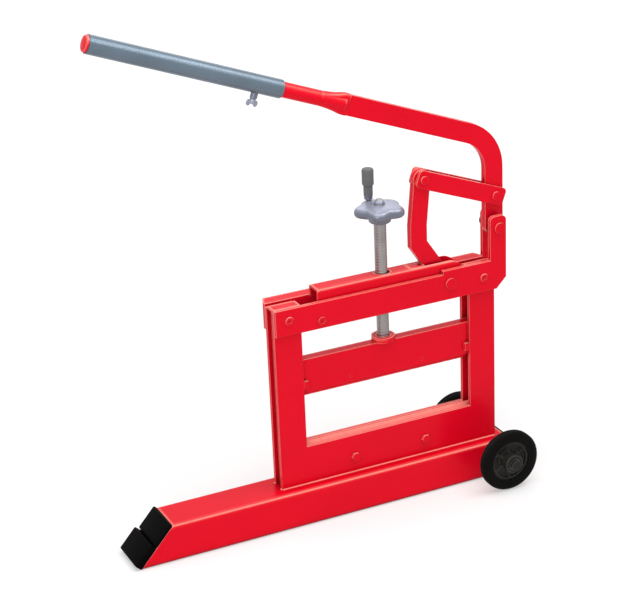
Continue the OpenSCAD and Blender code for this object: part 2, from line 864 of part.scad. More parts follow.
module handwheel() {
  color(ZINC) difference() {
    union() {
      translate([0, 0, handwheel_low]) linear_extrude(handwheel_t) handwheel_outline();
      translate([0, 0, handwheel_hub_low]) cylinder(d = handwheel_hub_d, h = handwheel_hub_t);
    }
    translate([0, 0, handwheel_hub_low - past])
      cylinder(r = spindle_d / 2 + pin_fit, h = handwheel_hub_t + handwheel_t + 2 * past);
    rotate(lobe_deg) translate([crank_r, 0, handwheel_low - past])
      cylinder(r = crank_stud_d / 2 + pin_fit, h = handwheel_t + 2 * past);
  }
}

module cap_nut_top() {
  color(ZINC) translate([0, 0, handwheel_top]) difference() {
    cylinder(d = cap_nut[0], h = cap_nut[1], $fn = 6);
    translate([0, 0, -past]) cylinder(r = cap_stud_d / 2 + pin_fit, h = cap_nut[1] + 2 * past);
  }
}

module crank_pin() {
  color(ZINC) rotate(lobe_deg) translate([crank_r, 0, 0]) {
    translate([0, 0, handwheel_low]) cylinder(d = crank_stud_d, h = handwheel_t);
    translate([0, 0, handwheel_top]) cylinder(d = crank_neck[0], h = crank_neck[1]);
    translate([0, 0, handwheel_top + crank_neck[1]]) cylinder(d = crank_stud_d, h = crank_stud_len);
  }
}

module crank_grip() {
  low = handwheel_top + crank_neck[1] + free_fit;
  color(BLACK) rotate(lobe_deg) translate([crank_r, 0, 0]) difference() {
    translate([0, 0, low]) cylinder(d = crank_grip_d, h = crank_grip_len);
    translate([0, 0, low - past])
      cylinder(r = crank_stud_d / 2 + pin_fit, h = crank_stud_len + past + free_fit);
  }
}

// Turns a profile drawn as radius and distance from the middle of the machine into a wheel piece.
module wheel_turn() {
  translate([axle_x, 0, axle_z]) rotate([90, 0, 0]) rotate_extrude() children();
}

module tyre() {
  side = wheel_d / 2 - tyre_r;
  wheel_turn() {
    translate([rim_r, tyre_in]) square([side - rim_r, tyre_w]);
    translate([rim_r, tyre_in + tyre_r]) square([wheel_d / 2 - rim_r, tyre_w - 2 * tyre_r]);
    for (y = [tyre_in + tyre_r, tyre_out - tyre_r]) translate([side, y]) circle(tyre_r);
  }
}

module hub() {
  bore = axle_d / 2 + pin_fit + bush_wall;
  wheel_turn() {
    translate([bore, tyre_in - boss_in]) square([boss_r - bore, tyre_w + boss_in + boss_out]);
    translate([bore, tyre_in + rim_inset]) square([rim_r - bore, tyre_w - 2 * rim_inset]);
  }
}

module bush() {
  wheel_turn() translate([axle_d / 2 + pin_fit, tyre_in - boss_in])
    square([bush_wall, tyre_w + boss_in + boss_out]);
}

module near_tyre() { color(BLACK) tyre(); }
module near_hub() { color(BLACK) hub(); }
module near_bush() { color(STEEL) bush(); }
module far_tyre() { color(BLACK) mirror([0, 1, 0]) tyre(); }
module far_hub() { color(BLACK) mirror([0, 1, 0]) hub(); }
module far_bush() { color(STEEL) mirror([0, 1, 0]) bush(); }

base_beam();
toe_pad_upper();
toe_pad_lower();
rear_plug();
front_frame();
back_frame();
left_upright();
right_upright();
upright_caps();
lower_plate_front();
lower_plate_back();
lower_blade();
lower_bolts();
head_plate_front();
head_plate_back();
head_bolts();
stop_sleeve();
stop_bolt();
rocker_pin_bolt();
lever_pin_bolt();
pin_clips();
spring_seat();
return_spring();
axle();
axle_sleeves();
axle_caps();
lever_bar();
lever_hub();
handle_tube();
handle_root();
grip_tube();
grip_plug();
clamp_nut();
wing_screw();
strap_front();
strap_back();
lever_link_pin();
rocker_channel();
crank_arm();
rocker_hub();
rocker_link_pin();
spindle_nut();
blade_beam();
upper_blade();
blade_bolts();
thrust_housing();
thrust_cover();
guide_pads();
spindle();
handwheel();
cap_nut_top();
crank_pin();
crank_grip();
near_tyre();
near_hub();
near_bush();
far_tyre();
far_hub();
far_bush();
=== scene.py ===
"""Looks of a hand-lever block splitter: finishes for its parts, and detail that their solids leave plain."""

import json
import math

import bmesh
import bpy
from mathutils import Matrix, Vector


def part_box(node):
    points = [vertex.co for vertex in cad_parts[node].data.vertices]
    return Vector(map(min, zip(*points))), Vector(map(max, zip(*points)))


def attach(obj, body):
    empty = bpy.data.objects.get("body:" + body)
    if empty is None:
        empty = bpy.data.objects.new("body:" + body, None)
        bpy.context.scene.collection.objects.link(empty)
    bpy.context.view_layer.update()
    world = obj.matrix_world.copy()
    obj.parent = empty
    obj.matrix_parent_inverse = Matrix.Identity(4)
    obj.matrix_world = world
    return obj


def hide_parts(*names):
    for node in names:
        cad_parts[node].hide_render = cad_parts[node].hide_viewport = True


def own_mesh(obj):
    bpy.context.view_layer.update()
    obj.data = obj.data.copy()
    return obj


bl_info = {
    "name": "Block splitter looks",
    "version": (1, 0, 0),
    "blender": (4, 5, 0),
    "location": "View3D > Sidebar > Splitter",
    "description": "Dresses the packed block splitter with finishes, threads, welds and castings",
    "category": "Object",
}

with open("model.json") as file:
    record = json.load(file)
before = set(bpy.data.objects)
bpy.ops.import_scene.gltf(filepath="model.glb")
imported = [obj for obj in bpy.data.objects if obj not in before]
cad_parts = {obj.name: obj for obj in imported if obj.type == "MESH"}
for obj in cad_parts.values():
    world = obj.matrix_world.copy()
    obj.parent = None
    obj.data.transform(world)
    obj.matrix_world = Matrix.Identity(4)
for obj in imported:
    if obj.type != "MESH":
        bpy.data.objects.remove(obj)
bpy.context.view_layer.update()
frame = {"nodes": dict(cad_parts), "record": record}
NODES = frame["nodes"]
SLOT_OF = {row["node"]: row["material_slot"] for row in frame["record"]["subparts"]}
BODY_OF = {n: body for body, members in frame["record"]["behaviour"]["bodies"].items() for n in members}
ORIGIN = Vector((0, 0, 0))
UP = Vector((0, 0, 1))
FRONT = Vector((0, -1, 0))
BACK = -FRONT
WHITE = (1, 1, 1)

# vertices closer than this are one
MERGE = 5e-6

# the lever's straight arm: its turn from upright, its direction, its upper side and its length past the bend;
# then the radius of the bend and the height where it starts
ARM_TURN = math.radians(69)
ARM_ALONG = Vector((-math.sin(ARM_TURN), 0, math.cos(ARM_TURN)))
ARM_LIFT = Vector((math.cos(ARM_TURN), 0, math.sin(ARM_TURN)))
ARM_LENGTH = 0.288
BEND_RADIUS = 0.086
BEND_LOW = 0.667

# the sliding grip: its radius, and how far past the arm's end its clamp screw sits
GRIP_RADIUS = 0.018
CLAMP_PLACE = 0.187

# the flattened root: distance past the arm's end, half height, half width, squareness (2 is round)
ROOT_SECTIONS = (
    (-0.008, 0.0215, 0.0105, 5.0),
    (0.0, 0.0215, 0.0105, 5.0),
    (0.008, 0.0208, 0.0112, 3.4),
    (0.02, 0.0182, 0.0124, 2.7),
    (0.034, 0.0163, 0.0138, 2.3),
    (0.046, 0.0154, 0.0148, 2.05),
    (0.0525, 0.01508, 0.01505, 2.0),
    (0.056, 0.0149, 0.0149, 2.0),
)

# the toe: setback of its top edge, share of its slope below the gap between the pads, margin round a pad,
# thickness of the pads
TOE_SETBACK = 0.073
PAD_SPLIT = 0.497
PAD_MARGIN = 0.001
PAD_UPPER = 0.008
PAD_LOWER = 0.016

# the handwheel: its lobes, and how its flat crown shrinks in rings towards the middle
LOBES = 5
CROWN_STEPS = (0.85, 0.82, 0.75, 0.65, 0.5)

# soft lights: name, place, width, height, power in watts; all aim at the middle of the splitter
LIGHTS = (
    ("overhead_softbox", (-0.4, -0.3, 2.9), 2.2, 2.2, 41.0),
    ("front_softbox", (-2.4, -2.6, 1.9), 1.6, 1.6, 46.0),
    ("right_softbox", (1.25, -0.4, 2.45), 0.9, 0.9, 14.0),
    ("back_softbox", (0.65, 2.0, 1.95), 1.5, 1.0, 5.0),
    ("edge_light", (0.95, -1.35, 2.5), 0.5, 0.5, 8.0),
)
LIGHT_TARGET = Vector((0, 0, 0.45))

# the floor: its half side, its grey, the strength of its white glow, the middle of the shadow on it,
# and the share of the glow by distance from there
FLOOR_HALF = 15.0
FLOOR_GREY = (0.86, 0.86, 0.86)
FLOOR_GLOW = 1.1
SHADOW_MIDDLE = (-0.1, -0.1, 0)
SHADOW_FADE = {"From Min": 0.5, "From Max": 1.9, "To Min": 0.35, "To Max": 1.0}

# the room's light: what lights the part, and what is seen
ROOM_LIGHT = 0.5
ROOM_SEEN = 1.0

# the camera: picture width and focal length in pixels, sensor in mm, place in metres, how far it sees,
# and turn, tilt and roll in degrees
PICTURE_WIDTH = 620
FOCAL_PIXELS = 1900
SENSOR = 36.0
CAMERA_PLACE = (-1.58438, -3.12099, 1.87615)
CAMERA_REACH = 60.0
CAMERA_ANGLES = (-24.555, 22.551, -2.593)


def centre_of(name):
    """The middle of a part's box."""
    return sum(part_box(name), Vector()) / 2


def radius_of(name, axis):
    """Half the size of a part's box along the axis x, y or z."""
    low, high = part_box(name)
    return (getattr(high, axis) - getattr(low, axis)) / 2


def arm_start():
    """Where the lever's bend ends and its straight arm starts."""
    return Vector((centre_of("lever_hub").x - BEND_RADIUS, 0, BEND_LOW)) + ARM_LIFT * BEND_RADIUS


def srgb(red, green, blue):
    """The linear colour that shaders take, from 8-bit display values."""
    steps = (v / 255 for v in (red, green, blue))
    return tuple(v / 12.92 if v <= 0.04045 else ((v + 0.055) / 1.055) ** 2.4 for v in steps)


def shade(colour, factor, lift=0.0):
    """A colour made darker or lighter."""
    return tuple(min(1.0, factor * c + lift) for c in colour)


# ---- sizes and colours a user would change


def colour_setting(name, description, *display):
    """A colour property, set from 8-bit display values."""
    return bpy.props.FloatVectorProperty(
        name=name, description=description, subtype="COLOR", default=srgb(*display), min=0, max=1)


def length_setting(name, description, default):
    """A length property in metres."""
    return bpy.props.FloatProperty(name=name, description=description, unit="LENGTH", default=default)


class SplitterColours(bpy.types.PropertyGroup):
    """Colours of the splitter's finishes."""

    paint: colour_setting("Paint", "Gloss paint of the frame and lever", 221, 7, 34)
    # painted highlight: this pale colour stands for paint running thin on edges and for light caught on edges
    # and narrow faces
    paint_edge_and_highlight: colour_setting("Paint on edges", "Paint where it runs thin over an edge", 255, 150, 136)
    # painted shade: the dark colour laid in the gaps between plates, where shade falls
    gap_shade: colour_setting("Grime", "Paint deep in the gaps between plates", 70, 2, 10)
    steel: colour_setting("Bare steel", "Machined steel of the spindle and spring", 152, 147, 146)
    zinc: colour_setting("Zinc", "Plated handwheel, nuts and wing screw", 163, 168, 187)
    black_iron: colour_setting("Blackened steel", "Clips on the pins", 40, 38, 38)
    black_plastic: colour_setting("Black plastic", "Toe pads and rear plug", 9, 9, 9)
    hub: colour_setting("Hub plastic", "Wheel hubs and axle caps", 40, 39, 36)
    rubber: colour_setting("Rubber", "Tyres", 10, 9, 8)
    grip: colour_setting("Grip sleeve", "Grey sleeve of the sliding grip", 101, 116, 129)
    crank: colour_setting("Crank knob", "Dark grey knob on the handwheel", 104, 104, 107)
    bronze: colour_setting("Bronze", "Wheel bushes", 122, 114, 103)


class SplitterSizes(bpy.types.PropertyGroup):
    """Sizes of the detail pieces."""

    thread_pitch: length_setting("Thread pitch", "Rise of the spindle's thread in one turn", 0.006)
    thread_radius: length_setting("Thread radius", "Radius over the crests of the spindle's thread", 0.0125)
    thread_depth: length_setting("Thread depth", "Depth of the spindle's thread", 0.0004)
    casting_round: length_setting("Casting rounding", "Rounding of the handwheel's rim", 0.0075)
    dome: length_setting("Handwheel dome", "Fall of the handwheel's top from its middle to its rim", 0.006)
    scallop: length_setting("Scallop depth", "How far the rim draws in between two lobes", 0.0098)
    weld_width: length_setting("Weld width", "Leg of a weld bead", 0.003)
    pad_round: length_setting("Pad rounding", "Rounding of the toe pads' edges", 0.003)
    edge_round: length_setting("Edge rounding", "How soft the paint makes an edge look", 0.0022)
    # painted highlight: how wide the pale band laid on a plate's narrow faces is
    highlight_rim_width: length_setting("Pale rim", "How wide a plate's narrow face looks pale", 0.008)
    wire: length_setting("Spring wire", "Diameter of the return spring's wire", 0.0032)
    curls: bpy.props.IntProperty(name="Spring curls", description="Curls of the return spring", default=8)
    spokes: bpy.props.IntProperty(name="Hub ribs", description="Ribs on each wheel hub", default=6)


# ---- shader building


class Term:
    """A shader value: Python's arithmetic on it adds Math nodes."""

    def __init__(self, nodes, socket):
        self.nodes = nodes
        self.socket = socket

    def _math(self, operation, first, second):
        return self.nodes.node("ShaderNodeMath", {"operation": operation}, {0: first, 1: second})

    def __add__(self, other):
        return self._math("ADD", self, other)

    def __mul__(self, other):
        return self._math("MULTIPLY", self, other)

    def __pow__(self, other):
        return self._math("POWER", self, other)

    def __rsub__(self, other):
        return self._math("SUBTRACT", other, self)

    __radd__ = __add__
    __rmul__ = __mul__

    def either(self, other):
        """The larger of two values."""
        return self._math("MAXIMUM", self, other)

    def within(self):
        """The value kept between 0 and 1."""
        return self.nodes.node("ShaderNodeClamp", {}, {"Value": self, "Min": 0.0, "Max": 1.0})


class Nodes:
    """A node tree, whose nodes all come from one method."""

    def __init__(self, tree):
        self.tree = tree

    def feed(self, socket, value):
        """Links a term to a socket, or sets a plain value on it."""
        if isinstance(value, Term):
            self.tree.links.new(value.socket, socket)
        elif socket.type == "RGBA":
            socket.default_value = (*value[:3], 1.0)
        else:
            socket.default_value = value

    def node(self, kind, settings=None, sockets=None, out=0):
        """Adds a node: its settings come first, then the values or links of its sockets."""
        made = self.tree.nodes.new(kind)
        for key, value in (settings or {}).items():
            if key == "stops":
                while len(made.color_ramp.elements) < len(value):
                    made.color_ramp.elements.new(0.5)
                for stop, (at, level) in zip(made.color_ramp.elements, value):
                    stop.position = at
                    stop.color = (level, level, level, 1.0)
            else:
                setattr(made, key, value)
        for key, value in (sockets or {}).items():
            self.feed(made.inputs[key], value)
        return Term(self, made.outputs[out]) if made.outputs else None

    def white_rays(self):
        """1 for camera, mirrored and transmitted rays, which see the room white."""
        kinds = ("Is Camera Ray", "Is Glossy Ray", "Is Transmission Ray")
        seen, mirrored, through = (self.node("ShaderNodeLightPath", out=kind) for kind in kinds)
        return seen.either(mirrored).either(through)


class Finish(Nodes):
    """One procedural material, built on Object coordinates."""

    def __init__(self, name):
        self.material = bpy.data.materials.new(name)
        self.material.use_nodes = True
        super().__init__(self.material.node_tree)
        self.tree.nodes.clear()
        self.place = self.node("ShaderNodeTexCoord", out="Object")

    def noise(self, scale, detail=3.0, rough=0.55, stretch=None):
        """Noise from 0 to 1, stretched along the axes if asked."""
        place = self.place
        if stretch:
            place = self.node("ShaderNodeMapping", {}, {"Vector": place, "Scale": stretch})
        sockets = {"Vector": place, "Scale": scale, "Detail": detail, "Roughness": rough}
        return self.node("ShaderNodeTexNoise", {}, sockets, out="Fac")

    def ramp(self, value, *stops):
        """A value led through stops of place and level."""
        return self.node("ShaderNodeValToRGB", {"stops": stops}, {"Fac": value})

    def mix(self, share, first, second):
        """Two colours mixed: the share is that of the second."""
        return self.node("ShaderNodeMix", {"data_type": "RGBA"}, {0: share, 6: first, 7: second}, out=2)

    def flat_normal(self):
        """The surface's normal without any rounding."""
        return self.node("ShaderNodeNewGeometry", {}, out="Normal")

    def dot(self, first, second):
        """The dot product of two directions."""
        settings = {"operation": "DOT_PRODUCT"}
        return self.node("ShaderNodeVectorMath", settings, {0: first, 1: second}, out="Value")

    def soft_edges(self, radius, steep=6.0):
        """A normal rounded over the edges, and a mask that is 1 on them."""
        rounded = self.node("ShaderNodeBevel", {"samples": 6}, {"Radius": radius})
        along = self.dot(rounded, self.flat_normal())
        return rounded, ((1.0 - along) * steep).within()

    def facing(self, direction):
        """How far the surface faces a direction, from 0 to 1."""
        return self.dot(self.flat_normal(), direction).within()

    def bump(self, height, strength, distance, normal=None):
        """A normal bumped by a height, on top of another normal if given."""
        sockets = {"Height": height, "Strength": strength, "Distance": distance}
        if normal is not None:
            sockets["Normal"] = normal
        return self.node("ShaderNodeBump", {}, sockets)

    def show(self, shader):
        """Leads a shader to the surface and gives the material."""
        self.node("ShaderNodeOutputMaterial", {}, {"Surface": shader})
        return self.material

    def set(self, **sockets):
        """Shows a Principled shader with these inputs and gives the material."""
        named = {k.replace("_", " ").title().replace("Ior", "IOR"): v for k, v in sockets.items()}
        return self.show(self.node("ShaderNodeBsdfPrincipled", {}, named))


def paint_finish(colours, sizes):
    """Gloss paint: mottled, pale on edges (thin paint and painted highlight), painted shade in gaps, an
    orange-peel skin.
    """
    f = Finish("gloss_paint")
    rounded, edge = f.soft_edges(sizes.edge_round)
    cloud = f.noise(9.0, detail=4.0)
    body = f.mix(f.ramp(cloud, (0.3, 0.0), (0.7, 1.0)), shade(colours.paint, 0.93), colours.paint)

    # pale: paint thin over edges, plus a painted highlight on edges, front-up and back-up corners, and narrow
    # faces looking up or left
    lit_narrow_top = f.soft_edges(sizes.highlight_rim_width, steep=18.0)[1] * f.facing(UP)
    lit_narrow_end = f.soft_edges(sizes.highlight_rim_width * 0.5, steep=18.0)[1] * f.facing((-1, 0, 0))
    slant = 0.7071
    corner_highlight = f.facing((0, -slant, slant)) ** 40.0 + f.facing((0, slant, slant)) ** 40.0
    thin = (edge * 0.12 + corner_highlight * 0.8 + lit_narrow_top + lit_narrow_end * 0.8).within()
    pale_edges_and_highlight = f.mix((thin * (0.7 + 0.5 * f.noise(130.0))).within(), body, colours.paint_edge_and_highlight)

    # painted shade: darker in the gaps between plates, where shade falls, and specked with a little dust
    open_sky = f.node("ShaderNodeAmbientOcclusion", {"samples": 6}, {"Distance": 0.035}, out="AO")
    gap = f.ramp(1.0 - open_sky, (0.35, 0.0), (0.85, 1.0))
    gap_shaded = f.mix(gap * 0.75, pale_edges_and_highlight, colours.gap_shade)
    speck = f.ramp(f.noise(420.0, detail=2.0, rough=0.7), (0.66, 0.0), (0.74, 1.0))
    dusty = f.mix(speck * 0.04, gap_shaded, (0.5, 0.2, 0.2))
    peel = f.noise(520.0, detail=2.0, rough=0.5)
    skin = f.bump(peel, strength=0.05, distance=0.0004, normal=rounded)
    return f.set(base_color=dusty, roughness=0.2 + 0.1 * cloud, normal=skin, ior=1.17)


def steel_finish(colours):
    """Machined steel with fine turning marks, a few oil stains and a painted highlight on its edges."""
    f = Finish("machined_steel")
    rounded, edge = f.soft_edges(0.0008)
    marks = f.noise(240.0, detail=4.0, rough=0.7, stretch=(1.0, 1.0, 9.0))
    stain = f.ramp(f.noise(26.0, detail=4.0), (0.45, 0.0), (0.75, 1.0))
    tone = f.mix((stain * 0.6 + marks * 0.25).within(), colours.steel, shade(colours.steel, 0.5))
    # painted highlight: the edges made lighter, as where they catch the light
    edge_highlit = f.mix(edge * 0.6, tone, shade(colours.steel, 1.4))
    skin = f.bump(marks, strength=0.08, distance=0.0003, normal=rounded)
    return f.set(base_color=edge_highlit, metallic=0.85, roughness=0.3 + 0.22 * marks, normal=skin)


def zinc_finish(name, colours, side_shade):
    """Zinc: bluish grey, faintly mottled, painted highlight on its edges, painted shade darkening its sides
    by side_shade.
    """
    f = Finish(name)
    rounded, edge = f.soft_edges(0.0015)
    sockets = {"Vector": f.place, "Scale": 150.0}
    cells = f.node("ShaderNodeTexVoronoi", {"feature": "F1"}, sockets, out="Distance")
    grain = f.noise(360.0, rough=0.6)
    # painted light and shade: the top kept light, the sides darker by side_shade
    lit_top_shaded_sides = f.mix(f.facing(UP) ** 2.0, shade(colours.zinc, side_shade), colours.zinc)
    tone = f.mix((cells * 0.5).within(), lit_top_shaded_sides, shade(colours.zinc, 0.5))
    # painted highlight: lighter on the edges
    edge_highlit = f.mix(edge * 0.5, tone, shade(colours.zinc, 1.35))
    skin = f.bump(grain, strength=0.12, distance=0.0004, normal=rounded)
    return f.set(base_color=edge_highlit, metallic=0.4, roughness=0.26 + 0.2 * grain, normal=skin)


def moulded_finish(name, colour, scale, gloss, depth, ior, edge_rub_and_glint):
    """Moulded plastic or rubber: a fine grain, clouded darker by depth, lighter on its edges by rubbed wear
    and a painted highlight.
    """
    f = Finish(name)
    rounded, edge = f.soft_edges(0.0012)
    grain = f.noise(scale, detail=2.0, rough=0.6)
    tone = f.mix(f.ramp(f.noise(14.0), (0.35, 0.0), (0.7, 1.0)), shade(colour, depth), colour)
    # lighter edges: rubbed wear, and a painted highlight standing for glints
    rubbed_and_glinting = f.mix((edge * 0.6).within(), tone, shade(colour, 1.5, edge_rub_and_glint))
    skin = f.bump(grain, strength=0.15, distance=0.0004, normal=rounded)
    return f.set(base_color=rubbed_and_glinting, roughness=gloss + 0.18 * grain, normal=skin, ior=ior)


def tube_finish(colours):
    """The grip's sleeve: bluish grey, polished, with faint wrinkles along it and a painted highlight on its
    edges.
    """
    f = Finish("drawn_tube")
    rounded, edge = f.soft_edges(0.0008)
    wrinkle = f.noise(60.0, detail=4.0, rough=0.65, stretch=(1.0, 3.0, 2.0))
    tone = f.mix(f.ramp(f.noise(11.0), (0.35, 0.0), (0.7, 1.0)), shade(colours.grip, 0.85), colours.grip)
    # painted highlight: the edges made lighter, as where they catch the light
    edge_highlit = f.mix(edge * 0.5, tone, shade(colours.grip, 1.6))
    skin = f.bump(wrinkle, strength=0.1, distance=0.0006, normal=rounded)
    return f.set(base_color=edge_highlit, metallic=0.55, roughness=0.27 + 0.14 * wrinkle, normal=skin)


def blackened_finish(colours):
    """Blackened steel with bare metal showing on its edges."""
    f = Finish("blackened_steel")
    rounded, edge = f.soft_edges(0.0008)
    grain = f.noise(300.0)
    black = f.mix(grain * 0.5, colours.black_iron, (0.01, 0.01, 0.01))
    tone = f.mix((edge * 0.7).within(), black, colours.steel)
    skin = f.bump(grain, strength=0.1, distance=0.0003, normal=rounded)
    return f.set(base_color=tone, metallic=0.6, roughness=0.32 + 0.2 * grain, normal=skin)


def bronze_finish(colours):
    """Sintered bearing bronze."""
    f = Finish("bearing_bronze")
    grain = f.noise(500.0, detail=2.0)
    tone = f.mix(grain, colours.bronze, shade(colours.bronze, 0.6))
    skin = f.bump(grain, strength=0.2, distance=0.0003)
    return f.set(base_color=tone, metallic=0.8, roughness=0.4 + 0.2 * grain, normal=skin)


FINISHES = {}


def finish_of(slot):
    """The material of a slot or of a variant of one, made once."""
    if not FINISHES:
        colours = bpy.context.scene.splitter_colours
        FINISHES.update(
            paint=paint_finish(colours, bpy.context.scene.splitter_sizes),
            bare_steel=steel_finish(colours),
            # two copies of one zinc that differ only in how much painted shade darkens their sides
            zinc_cast=zinc_finish("zinc_casting", colours, side_shade=0.36),
            zinc_plate=zinc_finish("zinc_plate", colours, side_shade=0.85),
            dark_steel=blackened_finish(colours),
            bronze=bronze_finish(colours),
            grip_grey=tube_finish(colours),
        )
        # last column: how much lighter the edges are, as rubbed wear and painted highlight
        for key, name, colour, scale, gloss, depth, ior, edge_rub_and_glint in (
            ("black_plastic", "black_plastic", colours.black_plastic, 700.0, 0.34, 0.7, 1.07, 0.16),
            ("hub_plastic", "hub_plastic", colours.hub, 700.0, 0.3, 0.6, 1.2, 0.2),
            ("tyre_rubber", "tyre_rubber", colours.rubber, 520.0, 0.5, 0.75, 1.14, 0.06),
            ("crank_plastic", "crank_knob", colours.crank, 700.0, 0.38, 0.85, 1.3, 0.03),
        ):
            FINISHES[key] = moulded_finish(name, colour, scale, gloss, depth, ior, edge_rub_and_glint)
    return FINISHES[slot]


# ---- modelling helpers


def add_piece(name, bm, body, slot, replaces=(), smooth=35.0, finish=None):
    """Turns a bmesh into a piece at the origin that rides on a body."""
    bmesh.ops.remove_doubles(bm, verts=bm.verts, dist=MERGE)
    bmesh.ops.recalc_face_normals(bm, faces=bm.faces)
    mesh = bpy.data.meshes.new(name)
    bm.to_mesh(mesh)
    bm.free()
    mesh.shade_smooth()
    mesh.set_sharp_from_angle(angle=math.radians(smooth))
    piece = bpy.data.objects.new(name, mesh)
    bpy.context.scene.collection.objects.link(piece)
    mesh.materials.append(finish_of(finish or slot))
    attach(piece, body)
    if replaces:
        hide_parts(*replaces)
    return piece


def disc(bm, centre, radius, segments):
    """A filled, level circle. Gives its vertices."""
    place = Matrix.Translation(centre)
    return bmesh.ops.create_circle(bm, cap_ends=True, segments=segments, radius=radius, matrix=place)["verts"]


def grow(bm, faces, offset=ORIGIN, open_foot=False):
    """Extrudes faces by an offset. The old faces stay as the foot, or go where solid lies behind them.

    Gives the new vertices and the new faces.
    """
    grown = bmesh.ops.extrude_face_region(bm, geom=faces)["geom"]
    if open_foot:
        bmesh.ops.delete(bm, geom=faces, context="FACES_ONLY")
    verts = [g for g in grown if isinstance(g, bmesh.types.BMVert)]
    bmesh.ops.translate(bm, verts=verts, vec=offset)
    return verts, [g for g in grown if isinstance(g, bmesh.types.BMFace)]


def edges_of(verts):
    """All edges at some vertices, each once, in the vertices' order."""
    return list(dict.fromkeys(e for v in verts for e in v.link_edges))


def round_edges(bm, edges, offset, segments):
    """Rounds edges with a round profile."""
    bmesh.ops.bevel(
        bm, geom=edges, offset=offset, affect="EDGES", segments=segments, profile=0.5, material=-1)


def lathe(bm, outline, centre, axis, steps=48):
    """Spins an outline of (radius, distance along the axis) into a closed turned shape."""
    axis = Vector(axis).normalized()
    side = axis.orthogonal().normalized()
    verts = [bm.verts.new(Vector(centre) + side * r + axis * d) for r, d in outline]
    edges = [bm.edges.new(pair) for pair in zip(verts, verts[1:])]
    bmesh.ops.spin(
        bm, geom=verts + edges, cent=Vector(centre), axis=axis, dvec=ORIGIN,
        angle=math.tau, steps=steps, use_merge=True)
    bmesh.ops.remove_doubles(bm, verts=bm.verts, dist=MERGE)


def slab(bm, corners, depth, rounding, segments=3):
    """A flat plate: corners filled and extruded along depth, with all edges but the foot's rounded."""
    face = bm.faces.new([bm.verts.new(p) for p in corners])
    lifted = grow(bm, [face], depth)[0]
    bmesh.ops.recalc_face_normals(bm, faces=bm.faces)
    round_edges(bm, edges_of(lifted), rounding, segments)


def weld_run(bm, start, end, width):
    """A weld bead: a rippled run between two points, drawn in at both ends."""
    ripple, ripple_length, end_share = 0.18, 0.9 * width, 0.35
    start, end = Vector(start), Vector(end)
    run = end - start
    length = run.length
    steps = max(8, round(length / (0.25 * width)))
    before = len(bm.verts)
    place = Matrix.Translation(start) @ run.to_track_quat("Z", "X").to_matrix().to_4x4()
    ring = bmesh.ops.create_circle(bm, cap_ends=True, segments=8, radius=width, matrix=place)["verts"]
    bmesh.ops.spin(
        bm, geom=[ring[0].link_faces[0]], cent=start, axis=run.normalized(), dvec=run / steps,
        angle=0.0, steps=steps)
    bm.verts.ensure_lookup_table()
    for v in bm.verts[before:]:
        past = min(max((v.co - start).dot(run) / length, 0.0), length)
        middle = start + run.normalized() * past
        near_end = min(1.0, end_share + min(past, length - past) / width)
        swell = 1 - ripple + ripple * abs(math.sin(math.pi * past / ripple_length))
        v.co = middle + (v.co - middle) * near_end * swell


# ---- operators, one for each piece or group of like pieces


class SPLITTER_OT_finishes(bpy.types.Operator):
    """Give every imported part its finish"""

    bl_idname = "splitter.finishes"
    bl_label = "Finishes"

    def execute(self, context):
        for name, part in NODES.items():
            part.data.materials.clear()
            part.data.materials.append(finish_of("hub_plastic" if name == "axle_caps" else SLOT_OF[name]))
        return {"FINISHED"}


class SPLITTER_OT_spindle(bpy.types.Operator):
    """Cut the thread on the spindle"""

    bl_idname = "splitter.spindle"
    bl_label = "Threaded spindle"

    def execute(self, context):
        sizes = context.scene.splitter_sizes
        low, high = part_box("spindle")
        wheel_low, wheel_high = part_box("handwheel")
        crest = sizes.thread_radius
        root = crest - sizes.thread_depth
        pitch = sizes.thread_pitch
        # the thread runs a little way into the cover and into the handwheel
        first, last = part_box("thrust_cover")[1].z - 0.002, wheel_low.z + 0.004
        around = 24
        turns = math.ceil((last - first) / pitch) + 2
        # one turn of the thread in profile: radius, and share of the pitch
        profile = ((root, 0.0), (root, 0.2), (crest, 0.38), (crest, 0.82), (root, 1.0))
        bm = bmesh.new()
        verts = [bm.verts.new((r, 0, first - pitch + share * pitch)) for r, share in profile]
        edges = [bm.edges.new(pair) for pair in zip(verts, verts[1:])]
        bmesh.ops.spin(
            bm, geom=verts + edges, cent=ORIGIN, axis=UP, dvec=UP * (pitch / around),
            angle=math.tau * turns, steps=around * turns)
        bmesh.ops.remove_doubles(bm, verts=bm.verts, dist=2e-5)
        for height, normal in ((first, -UP), (last, UP)):
            bmesh.ops.bisect_plane(
                bm, geom=bm.verts[:] + bm.edges[:] + bm.faces[:], plane_co=UP * height, plane_no=normal,
                clear_outer=True)
        bmesh.ops.holes_fill(bm, edges=[e for e in bm.edges if e.is_boundary], sides=0)

        flange, flange_top, chamfer = radius_of("spindle", "x"), low.z + 0.0066, 0.001
        foot = (
            (0, low.z), (flange - chamfer, low.z), (flange, low.z + chamfer), (flange, flange_top - chamfer),
            (flange - chamfer, flange_top), (crest, flange_top), (crest, first), (root, first + 0.0015),
            (0, first + 0.0015),
        )
        lathe(bm, foot, ORIGIN, UP)
        stud, stud_chamfer = 0.007, 0.0012
        head = (
            (0, last - 0.001), (root, last - 0.001), (crest, last), (crest, wheel_high.z),
            (stud, wheel_high.z), (stud, high.z - stud_chamfer), (stud - stud_chamfer, high.z), (0, high.z),
        )
        lathe(bm, head, ORIGIN, UP)
        add_piece("threaded_spindle", bm, BODY_OF["spindle"], "bare_steel", ["spindle"])
        return {"FINISHED"}


